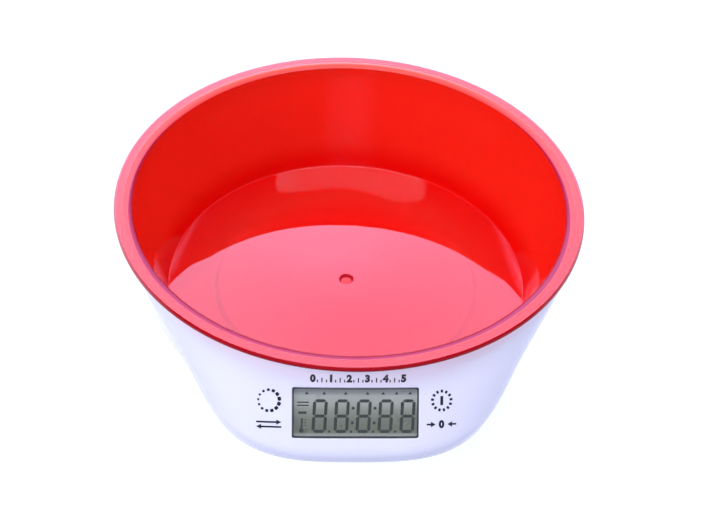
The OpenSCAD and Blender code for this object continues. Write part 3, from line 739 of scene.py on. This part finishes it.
def housing():
    front = np.radians(arc(-142, -38, 150))[:-1]
    rest = np.radians(arc(-38, 218, 200))[:-1]
    a = np.concatenate([front, rest])
    r, z = housing_section(a)
    verts = np.stack([r * np.cos(a), r * np.sin(a) + AXIS_Y, z], axis=-1).reshape(-1, 3)
    part = verts, band_faces(len(a), len(r), closed=True)
    obj = add_piece("housing", part, white_gloss, ["upper_housing"])
    obj.modifiers.clear()

    # Bosses for the housing screws and the board screws
    boss_r, boss_low, boss_high = 3.6, BASE_TOP + 0.3, WELL_FLOOR - 0.9
    pilot_r, pilot_low, pilot_high = 1.3, 5, 16.4
    screw_places = list(four_places(SCREW_CIRCLE, SCREW_TURN))
    bosses = [moved(post(boss_r, boss_low, boss_high), place) for place in screw_places]
    for side in (-1, 1):
        x, y = side * BOARD_SCREW[0], BOARD_SCREW[1]
        rise = BOARD_FACE - float(skin_depth(x, y)) - SKIN_NORMAL / 2
        bosses.append(moved(post(2.6, 0, rise), panel_matrix(x, y, BOARD_FACE)))
    combine(obj, joined(bosses), "UNION")

    # Window opening with a rounded edge that follows the skin, and the pocket of the window pane
    flare, inmost, pocket_play, pocket_depth = 0.45, 3.4, 0.6, 6.9
    outline = box_outline(WINDOW_W, WINDOW_H, 0.8, 1.2)
    rings = [plane_ring(outline, inmost)]
    for s, c in quarter(4):
        rings.append(skin_ring(grown(outline, flare * (1 - c)), flare * (1 - s)))
    rings += [skin_ring(grown(outline, flare + 0.4), above) for above in (-0.6, -3.0)]
    combine(obj, loft(rings), "DIFFERENCE")
    around = 2 * LENS_RIM + pocket_play
    pocket = box_outline(WINDOW_W + around, WINDOW_H + around, 0.5, 4.0)
    rings = [plane_ring(pocket, depth) for depth in (pocket_depth, LENS_BACK - LENS_T)]
    combine(obj, loft(rings), "DIFFERENCE")
    pilots = [moved(post(pilot_r, pilot_low, pilot_high, 24), place) for place in screw_places]
    combine(obj, joined(pilots), "DIFFERENCE")

    # Combining leaves an empty material slot
    mesh = obj.data
    mesh.materials.pop(index=1)

    # The outer skin's normals come from its formula, and the rest from its faces
    off_skin, slack = 0.02, 0.01
    mesh.shade_smooth()
    mesh.set_sharp_from_angle(angle=math.radians(32))
    points = coordinates(mesh) / MM - [0, AXIS_Y, 0]
    level = points[:, 2]
    on_skin = (np.abs(outside(points)) < off_skin) & (level > BODY_BOTTOM + FOOT_EDGE - slack)
    on_skin &= level < LIP_Z - LIP_EDGE + slack
    exact = skin_normals(points)
    corners = np.array([tuple(c.vector) for c in mesh.corner_normals])
    for face in mesh.polygons:
        if all(on_skin[v] for v in face.vertices):
            for loop, v in zip(face.loop_indices, face.vertices):
                corners[loop] = exact[v]
    mesh.normals_split_custom_set(corners.tolist())

    # The well that holds the bowl: white sides, and a floor as grey as the platform, as painted
    # shade under the bowl's floor
    side_foot = WELL_FLOOR + 0.8

    def in_well(r, z):
        return r < well_inner(z) + 0.1

    paint(obj, white_well, lambda r, z: z > side_foot and in_well(r, z))
    paint(obj, grey_painted_shade, lambda r, z: WELL_FLOOR - 0.1 < z <= side_foot and in_well(r, z))


housing()


# Bowl


def bowl():
    """A lathed bowl: a plain flange with a short step under it, a rolled mouth edge, a wall that
    bows by a third of a millimetre, and a floor that is crowned round its gate mark."""
    under = OVERALL_H - FLANGE_T
    step_in, step_out, step_end = 97.6, 98.8, LIP_Z + 0.6
    bottom, bottom_r, edge_bottom = BOWL_BOTTOM + 0.03, 58.0, BOWL_BOTTOM - 0.95
    roll_r, roll_w, roll_h = 95.6, 3.4, 0.8
    bow, inset = 0.35, 0.25
    floor_z, edge_z, crown_r = 29.2, 27.8, 66
    ring_r, groove_w, groove_depth = 11.2, 0.2, 0.06
    gate_r, gate_foot_r, gate_foot, gate_middle = 3.2, 2.4, floor_z - 1.2, floor_z - 0.95

    mouth_edge = [
        (roll_r - roll_w * math.sin(t), OVERALL_H - roll_h * (1 - math.cos(t)))
        for t in arc(0.12, math.pi / 2, 9)
    ]
    wall_top = OVERALL_H - roll_h
    wall = []
    for t in arc(0.1, 0.95, 12):
        z = wall_top + (edge_z - wall_top) * t
        wall.append((bowl_inner(z) - inset + inset * t + bow * 4 * t * (1 - t), z))
    crown = [
        (r, floor_z - (floor_z - edge_z) * min(1, (r - ring_r) / (crown_r - ring_r)))
        for r in np.arange(70.0, ring_r + 2, -4.0)
    ]
    profile = [
        (0, bottom),
        (bottom_r, bottom, 2.0),
        (bowl_inner(edge_bottom) + BOWL_SKIN, edge_bottom, 2.2),
        (bowl_inner(under) + BOWL_SKIN, under, 0.8),
        (step_in, under, 0.2),
        (step_in, step_end, 0.15),
        (step_out, step_end, 0.15),
        (step_out, under, 0.2),
        (RIM_R, under, 0.4),
        (RIM_R, OVERALL_H, 1.0),
        (roll_r, OVERALL_H),
        *mouth_edge,
        *wall,
        (bowl_inner(edge_z), edge_z, 0.6),
        *crown,
        (ring_r + groove_w, floor_z),
        (ring_r, floor_z - groove_depth),
        (ring_r - groove_w, floor_z),
        (gate_r, floor_z, 0.12),
        (gate_foot_r, gate_foot, 0.3),
        (0, gate_middle),
    ]
    verts, faces = lathe(rounded(profile, 6), 288)
    part = from_axis(verts), faces
    obj = add_piece("bowl_red", part, clear_red, ["bowl"], body="bowl", angle=40)
    low, foot_r = 27.5, 2.3
    # The rolled edge is opaque, and its colour is painted shade and painted reflection.
    paint(obj, roll_shade_red, lambda r, z: r < roll_r - 0.1 and z > wall_top)
    # The flange's outer edge is opaque, with painted shade at the front and painted light at the
    # back.
    paint(obj, edge_shade_red, lambda r, z: r > RIM_R - 0.95 and z > under - 0.01)
    paint(obj, gate_red, lambda r, z: r < foot_r and low < z < floor_z - 0.5)
    # The gate mark's sloping side gets painted shade, darker than its foot.
    paint(obj, gate_painted_shade, lambda r, z: foot_r < r < gate_r - 0.05 and low < z < floor_z - 0.1)


bowl()


# Display: the window pane, its dark edge, the display glass and the segments

BORDER_FRONT, SEGMENT_FRONT, GLASS_FRONT = LENS_BACK + 0.02, LENS_BACK + 0.065, LENS_BACK + 0.1


def add_print(name, parts, ink):
    add_piece(name, joined(parts), ink, angle=30)


def pane():
    """The clear pane fills the opening. Its front follows the skin and its flange is behind it."""
    play, sunk, edge = 0.24, 0.3, 0.12
    outline = box_outline(WINDOW_W - play, WINDOW_H - play, 0.7, 2.0)
    flange = grown(outline, LENS_RIM + 0.12)
    front = grown(outline, -0.15)
    flange_front = LENS_BACK - LENS_T + 0.02
    rings = [plane_ring(flange * t, LENS_BACK) for t in (0.3, 0.7, 1.0)]
    rings += [plane_ring(line, flange_front) for line in (flange, outline)]
    rings.append(skin_ring(outline, sunk + edge))
    rings += [skin_ring(front * t, sunk) for t in (1, 0.97, 0.9, 0.75, 0.6, 0.45, 0.3, 0.15)]
    add_piece("window_pane", loft(rings), clear_window, ["display_window"])


def flat_piece(outline, front, thick):
    """A closed plate from a convex outline, with its front at a depth below the panel's plane."""
    return loft([plane_ring(outline, depth) for depth in (front + thick, front)])


def printed_edge():
    """A thin dark frame on the back of the pane, which makes the dark line round the window."""
    over, width, thick = 0.9, 1.15, 0.05
    outer = box_outline(WINDOW_W + over, WINDOW_H + over, 0.9, 3.0)
    inner = grown(outer, -width)
    back = BORDER_FRONT + thick
    corners = ((outer, back), (outer, BORDER_FRONT), (inner, BORDER_FRONT), (inner, back))
    verts = np.concatenate([plane_ring(outline, depth) for outline, depth in corners])
    add_print("window_border", [(verts, band_faces(len(outer), 4, closed=True))], window_edge_dark)


def lcd():
    """Two panes of glass, the back one shorter at the foot, where the contacts are."""
    plate = box_outline(GLASS_W, GLASS_H, 0.2, 1e9, 2)
    back = box_outline(GLASS_W, GLASS_H - CONTACT_LEDGE, 0.2, 1e9, 2) + [0, CONTACT_LEDGE / 2]
    thick = GLASS_T / 2
    parts = [flat_piece(plate, GLASS_FRONT, thick), flat_piece(back, GLASS_FRONT + thick, thick)]
    add_piece("lcd_glass", joined(parts), display_grey, ["display_glass"])


# The ends of a digit's seven bars, as columns and rows
DIGIT_BARS = [((0, 2), (1, 2)), ((1, 2), (1, 1)), ((1, 1), (1, 0)), ((0, 0), (1, 0))]
DIGIT_BARS += [((0, 1), (0, 0)), ((0, 2), (0, 1)), ((0, 1), (1, 1))]


def bar(a, b, width, point):
    """A straight bar as an outline, its ends cut to a blunt point."""
    a, b = np.array(a), np.array(b)
    ahead = (b - a) / np.linalg.norm(b - a)
    side = np.array([-ahead[1], ahead[0]]) * width / 2
    tip = ahead * point
    return np.array([a, a - side + tip, b - side - tip, b, b + side - tip, a + side + tip])


def disc(x, y, radius, sides=20):
    t = np.arange(sides) * 2 * math.pi / sides
    return np.c_[x + radius * np.cos(t), y + radius * np.sin(t)]


def segments():
    thick, stroke, gap, slant = 0.03, 1.25, 0.14, math.tan(math.radians(3))
    low, high = -8.15, 5.3
    width, first, pitch = 5.85, -17.1, 8.72
    middle = (low + high) / 2
    outlines = []
    for digit in range(5):
        left = first + digit * pitch
        between = left + width + (pitch - width) / 2
        xs = (left + stroke / 2, left + width - stroke / 2)
        ys = (low + stroke / 2, middle, high - stroke / 2)
        for (i0, j0), (i1, j1) in DIGIT_BARS:
            a, b = np.array([xs[i0], ys[j0]]), np.array([xs[i1], ys[j1]])
            inset = (b - a) / np.linalg.norm(b - a) * gap
            outlines.append(bar(a + inset, b - inset, stroke, stroke / 2))
        if digit < 4:
            outlines.append(disc(between - 0.25, low + 0.55, 0.5))
        if digit in (1, 2):
            outlines += [disc(between, y, 0.62) for y in (1.75, -4.1)]
    # Minus sign
    outlines.append(rectangle(-22.7, -0.6, -19.5, 0.4))
    # Plain marks in place of the small words: pointers along the top and two lines at the left
    for x in (-19.8, -12.9, -4.4, 4.3, 10.5, 15.8, 21.2):
        outlines.append(np.array([(x - 0.75, 7.3), (x + 0.75, 7.3), (x, 8.5)]))
    outlines += [rectangle(-23.4, y, -18.7, y + 0.5) for y in (2.6, 3.8)]
    # Thermometer sign
    outlines.append(disc(-21.1, -7.2, 0.95))
    outlines.append(bar((-21.1, -6.6), (-21.1, -2.2), 0.8, 0.3))
    outlines += [rectangle(-20.2, y - 0.15, -19.3, y + 0.15) for y in (-3.0, -4.1, -5.2)]
    parts = []
    for outline in outlines:
        lean = np.c_[(outline[:, 1] - middle) * slant, np.zeros(len(outline))]
        parts.append(flat_piece(outline + lean, SEGMENT_FRONT, thick))
    add_print("lcd_segments", parts, segment_ink)


pane()
printed_edge()
lcd()
segments()


# Prints: thin plates whose tops lie just proud of the skin and whose undersides lie inside it

PRINT_PROUD, PRINT_SINK = 0.03, 0.05


def print_plate(outline):
    return loft([skin_ring(outline, below) for below in (PRINT_SINK, -PRINT_PROUD)])


def thickened(points, faces):
    """Flat faces on the panel made into a closed plate on the skin."""
    top, low = skin_ring(points, -PRINT_PROUD), skin_ring(points, PRINT_SINK)
    n = len(points)
    ccw = []
    for face in faces:
        x, y = points[face].T
        area = np.dot(x, np.roll(y, -1)) - np.dot(np.roll(x, -1), y)
        ccw.append(face if area > 0 else face[::-1])
    edges = {(f[i], f[(i + 1) % len(f)]) for f in ccw for i in range(len(f))}
    out = [list(f) for f in ccw] + [[v + n for v in f[::-1]] for f in ccw]
    out += [[b, a, a + n, b + n] for a, b in edges if (b, a) not in edges]
    return np.concatenate([top, low]), out


def spoke(x, y, angle, inner, outer, width):
    """A short bar that points away from a place."""
    ahead = np.array([math.cos(angle), math.sin(angle)])
    side = np.array([-ahead[1], ahead[0]]) * width / 2
    at = np.array([x, y])
    ends = ((inner, -1), (outer, -1), (outer, 1), (inner, 1))
    corners = [(*(at + ahead * r + side * way), width * 0.25) for r, way in ends]
    return print_plate(np.array(rounded(corners, 3, closed=True)))


def strip(x0, x1, y, width):
    """A level bar in short lengths that follow the skin."""
    count = max(2, int(abs(x1 - x0) / 0.8) + 1)
    xs = np.linspace(min(x0, x1), max(x0, x1), count)
    rows = [np.c_[xs, np.full(count, level)] for level in (y - width / 2, y + width / 2)]
    faces = [[i, i + 1, count + i + 1, count + i] for i in range(count - 1)]
    return thickened(np.concatenate(rows), faces)


def arrow(x0, x1, y, neck, head, half):
    """A level arrow from x0 to x1, its shaft ending at the neck, a distance short of the point."""
    way = math.copysign(1, x1 - x0)
    tip = [(x1, y), (x1 - way * head, y + way * half), (x1 - way * head, y - way * half)]
    return [strip(x0, x1 - way * neck, y, 0.7), print_plate(np.array(tip))]


def key_prints():
    dots, ring_r = 13, 4.2
    parts = []
    # Left key: a ring whose dots grow towards the right
    for k in range(dots):
        angle = math.radians(90 + 3 + 360 * k / dots)
        grow = 0.5 + 0.5 * math.cos(angle + 0.15)
        half, width = 0.42 + 0.3 * grow, 0.85 + 0.75 * grow
        parts.append(spoke(-KEY_X, KEY_Y, angle, ring_r - half, ring_r + half, width))
    # Right key: a ring of equal dots round an upright bar
    for k in range(dots):
        angle = math.radians(90 + 360 * k / dots)
        parts.append(spoke(KEY_X, KEY_Y, angle, 3.2, 4.4, 0.95))
    parts.append(spoke(KEY_X, KEY_Y, math.pi / 2, -1.85, 1.85, 1.15))
    # Below the left key, two arrows that point apart, and below the right key two round a zero
    low = KEY_Y - 9.6
    for way in (1, -1):
        x0, x1 = -KEY_X - way * 5.0, -KEY_X + way * 5.0
        parts += arrow(x0, x1, low + way * 0.95, neck=1.6, head=2.0, half=1.0)
    for side in (-1, 1):
        x0, x1 = KEY_X + side * 6.0, KEY_X + side * 2.4
        parts += arrow(x0, x1, low + 0.1, neck=1.4, head=1.9, half=1.1)
    add_print("key_prints", parts, print_ink)


def glyph(text, x, y):
    """Text on the skin in the built-in typeface, its middle at x and its foot at y."""
    height, boldness = 3.3, 0.068
    curve = bpy.data.curves.new("glyph", "FONT")
    curve.body = text
    curve.offset = boldness
    curve.resolution_u = 5
    obj = new_object("glyph", curve)
    shape = flattened(obj)
    points = coordinates(shape)[:, :2]
    low, high = points.min(0), points.max(0)
    foot = [(low[0] + high[0]) / 2, low[1]]
    points = (points - foot) * height / (high[1] - low[1]) + [x, y]
    faces = [list(face.vertices) for face in shape.polygons]
    bpy.data.objects.remove(obj)
    bpy.data.curves.remove(curve)
    bpy.data.meshes.remove(shape)
    return thickened(points, faces)


def scale_prints():
    """Plain numbers with short ticks between them, above the display."""
    base, start, numbers, length = 12.35, -17.1, 6, 36.0
    pitch = length / (numbers - 1)
    tick_heights = (1.1, 1.9, 1.1)
    half = 0.24
    parts = []
    for k in range(numbers):
        x = start + pitch * k
        parts.append(glyph(str(k), x, base))
        if k < numbers - 1:
            for i, tall in enumerate(tick_heights, 1):
                at = x + pitch * i / (len(tick_heights) + 1)
                parts.append(print_plate(rectangle(at - half, base, at + half, base + tall)))
    add_print("scale_numbers", parts, print_ink)
    add_print("zero_sign", [glyph("0", KEY_X, KEY_Y - 11.1)], print_ink)


key_prints()
scale_prints()


# Feet, batteries and springs


def feet():
    """Round feet with a hollow in the middle of the sole."""
    sole, hollow, top = 0.02, 0.45, BASE_Z + FOOT_SOCKET - 0.1
    profile = [(0, hollow), (3.4, hollow, 0.2), (4.0, sole, 0.3), (FOOT_R - 0.6, sole, 0.7)]
    profile += [(FOOT_R, 1.2, 0.8), (FOOT_R, top, 0.1), (0, top)]
    foot = lathe(rounded(profile), 56)
    parts = [moved(foot, place) for place in four_places(FOOT_CIRCLE, FOOT_TURN)]
    add_piece("feet", joined(parts), rubber, ["rubber_feet"])


def battery_places():
    """The middle of each battery's line. One of the two is turned end for end."""
    for side in (-1, 1):
        y = BAY_Y + AXIS_Y + side * (BATTERY_R + BAY_GAP)
        place = Matrix.Translation((0, y, BATTERY_Z))
        yield place if side > 0 else place @ Matrix.Rotation(math.pi, 4, "Z")


def batteries():
    """Wrapped cells with bare steel ends, the nub on one of them."""
    start = -BAY_L / 2 + CONTACT_T + SPRING_L
    lay = Matrix.Translation((start, 0, 0)) @ Matrix.Rotation(math.pi / 2, 4, "Y")
    body = BATTERY_L - 1.0
    wrapped = [(3.6, 0.25), (BATTERY_R, 0.0, 0.5), (BATTERY_R, body, 0.6)]
    wrapped += [(3.4, body), (3.4, body - 0.5), (3.6, 0.75)]
    ends = [(0, 0.05), (3.3, 0.05, 0.2), (3.75, 0.3), (3.75, body - 0.35)]
    ends += [(2.3, body - 0.25, 0.2), (1.95, body + 0.1, 0.2), (1.9, BATTERY_L, 0.35)]
    ends.append((0, BATTERY_L))
    for name, turned, slot, material in (
        ("battery_wraps", lathe(rounded(wrapped, 4), 48, closed=True), "battery_wrap", wrap),
        ("battery_ends", lathe(rounded(ends, 4), 36), "steel", steel),
    ):
        parts = [moved(turned, place @ lay) for place in battery_places()]
        add_piece(name, joined(parts), material, ["batteries"])


def springs():
    """Coils that narrow from the contact plate to the battery."""
    turns, wire_r, wide, narrow = 5, 0.3, 3.6, 2.2
    play = 0.35
    t = np.linspace(0, 1, turns * 24 + 1)
    radius = wide + (narrow - wide) * t
    start = -BAY_L / 2 + CONTACT_T + play
    path = np.c_[
        start + (SPRING_L - 2 * play) * t,
        radius * np.cos(2 * math.pi * turns * t),
        radius * np.sin(2 * math.pi * turns * t),
    ]
    parts = [moved(tube(path, wire_r, 10), place) for place in battery_places()]
    add_piece("springs", joined(parts), steel, ["battery_springs"])


feet()
batteries()
springs()


# CAD nodes that stay, with their own materials and some with their edges eased


def dress(obj, material, ease):
    if not obj.material_slots:
        obj.data.materials.append(material)
    for slot in obj.material_slots:
        slot.material = material
    if ease:
        weld = obj.modifiers.new("weld", "WELD")
        weld.merge_threshold = 2e-6
        bevel = obj.modifiers.new("ease", "BEVEL")
        bevel.width = ease * MM
        bevel.segments = 2
        bevel.limit_method = "ANGLE"
        bevel.angle_limit = math.radians(40)
        bevel.harden_normals = True


for material, ease, names in (
    # The platform's grey is painted shade under the bowl's floor.
    (grey_painted_shade, 0.4, "platform"),
    (white_matte, 0.25, "base_cover battery_door"),
    (white_matte, 0.15, "display_frame"),
    (steel, 0, "platform_screws carrier_screws cell_screws housing_screws board_screws"),
    (steel, 0.1, "carrier_plate cell_spacer battery_contacts"),
    (aluminium, 0.25, "load_cell"),
    (foil, 0, "strain_gauges"),
    (insulation_grey, 0, "load_cell_cable"),
    (insulation_red, 0, "battery_wires"),
    (board_green, 0, "circuit_board"),
    (black_plastic, 0.15, "processor_cover"),
    (component, 0.1, "board_components"),
    (rubber, 0, "contact_strip"),
    (gilt, 0, "unit_key_spring tare_key_spring"),
):
    for name in names.split():
        dress(frame["nodes"][name], material, ease)


# Camera, at the photograph's viewing angle


def aim_camera():
    """Set so that the rim's middle lands on its pixel in the photograph."""
    focal, distance = 2200.0, 0.936
    width, height = 714, 520
    rim_x, rim_y = 347.15, 201.0
    rise, turn, roll = math.radians(41.3), math.radians(3.3), math.radians(2.54)
    level = math.cos(rise)
    out = Vector((-math.sin(turn) * level, -math.cos(turn) * level, math.sin(rise)))
    ahead = -out
    right = ahead.cross(Vector((0, 0, 1))).normalized()
    up = right.cross(ahead)

    def turned(first, second, angle):
        c, s = math.cos(angle), math.sin(angle)
        return first * c + second * s, second * c - first * s

    right, ahead = turned(right, ahead, math.atan((rim_x - width / 2) / focal))
    ahead, up = turned(ahead, up, math.atan((rim_y - height / 2) / focal))
    right, up = turned(right, up, roll)
    data = bpy.data.cameras.new("camera")
    data.sensor_fit = "HORIZONTAL"
    data.lens = focal * data.sensor_width / width
    data.clip_start, data.clip_end = 0.01, 50.0
    camera = new_object("camera", data)
    place = Vector((0, AXIS_Y * MM, OVERALL_H * MM)) + out * distance
    facing = Matrix((right, up, -ahead)).transposed().to_4x4()
    camera.matrix_world = Matrix.Translation(place) @ facing
    scene.camera = camera


aim_camera()


# Floor, backdrop and lamps

WHITE = (1, 1, 1)


def floor():
    """A pale floor that keeps the object's shadow, and is lifted to white for rays from the camera
    and for those that gloss or glass sends on."""
    grey, glow, size = (0.42, 0.46, 0.54), 0.78, 6000
    material, tree, out = material_nodes("floor")
    path = node(tree, "LightPath")
    seen = path.outputs["Is Camera Ray"]
    for ray in ("Is Glossy Ray", "Is Transmission Ray"):
        seen = number(tree, "MAXIMUM", seen, path.outputs[ray])
    matte = node(tree, "BsdfDiffuse", {"Color": (*grey, 1)})
    lift = number(tree, "MULTIPLY", seen, glow)
    lit = node(tree, "Emission", {"Color": (*WHITE, 1), "Strength": lift})
    both = node(tree, "AddShader", {0: matte.outputs[0], 1: lit.outputs[0]})
    tree.links.new(both.outputs[0], out.inputs["Surface"])
    corners = [(x, y, 0) for x, y in rectangle(-size, -size, size, size)]
    obj = mesh_object("floor", (corners, [(0, 1, 2, 3)]))
    obj.data.materials.append(material)


def world():
    """White for the camera. Gloss and glass see a white backdrop that falls off overhead, and the
    rest is the studio's own soft light."""
    surround = bpy.data.worlds.new("surround")
    surround.use_nodes = True
    tree = surround.node_tree
    tree.nodes.clear()
    out = node(tree, "OutputWorld")
    place = node(tree, "TexCoord").outputs["Generated"]
    rise = node(tree, "SeparateXYZ", {0: place}).outputs["Z"]
    path = node(tree, "LightPath")

    def backdrop(low, high):
        ramp = node(tree, "ValToRGB", {0: rise})
        for element, at, colour in zip(ramp.color_ramp.elements, (0.12, 0.45), (low, high)):
            element.position = at
            element.color = (*colour, 1)
        return node(tree, "Background", {"Color": ramp.outputs[0]}).outputs[0]

    seen = backdrop(WHITE, (0.24, 0.27, 0.36))
    surface = backdrop((0.62, 0.66, 0.84), (0.30, 0.33, 0.42))
    for ray in ("Is Glossy Ray", "Is Transmission Ray"):
        surface = mixed(tree, path.outputs[ray], surface, seen)
    surface = mixed(tree, path.outputs["Is Camera Ray"], surface, backdrop(WHITE, WHITE))
    tree.links.new(surface, out.inputs["Surface"])
    scene.world = surround


def softbox(
    name, azimuth, elevation, distance, size, radiance, colour, spread=180, faces=None,
    shape="RECTANGLE", mirrored=True,
):
    """A flat lamp, with angles in degrees. Azimuth 0 is behind the bowl, at +Y, and 90 is to the
    left, at -X. It faces the bowl, or is tilted as if it stood at the elevation given by faces."""
    a = math.radians(azimuth)
    target_z = 0.04

    def outwards(degrees):
        e = math.radians(degrees)
        return Vector((-math.sin(a) * math.cos(e), math.cos(a) * math.cos(e), math.sin(e)))

    data = bpy.data.lights.new(name, "AREA")
    data.shape = shape
    data.size, data.size_y = size
    data.color = colour
    area = size[0] * size[1] * (math.pi / 4 if shape == "ELLIPSE" else 1)
    data.energy = radiance * math.pi * area
    data.spread = math.radians(spread)
    lamp = new_object(name, data)
    lamp.location = Vector((0, AXIS_Y * MM, target_z)) + outwards(elevation) * distance
    tilt = outwards(elevation if faces is None else faces)
    lamp.rotation_euler = tilt.to_track_quat("Z", "Y").to_euler()
    lamp.visible_camera = False
    lamp.visible_glossy = mirrored


floor()
world()
softbox("back_box", 0, 42, 2.2, (1.9, 1.2), 0.46, (0.80, 0.62, 0.95), spread=56, faces=37)
softbox("key_box", 114, 30, 2.2, (1.4, 1.4), 4.4, (1.0, 0.98, 0.98), mirrored=False)
softbox("fill_box", -125, 30, 2.2, (1.6, 1.4), 1.8, (0.96, 0.95, 1.0), mirrored=False)
softbox("top_box", 180, 89.9, 2.0, (1.38, 1.0), 5.2, (0.98, 0.96, 1.0), shape="ELLIPSE")
scene.view_settings.view_transform = "Standard"
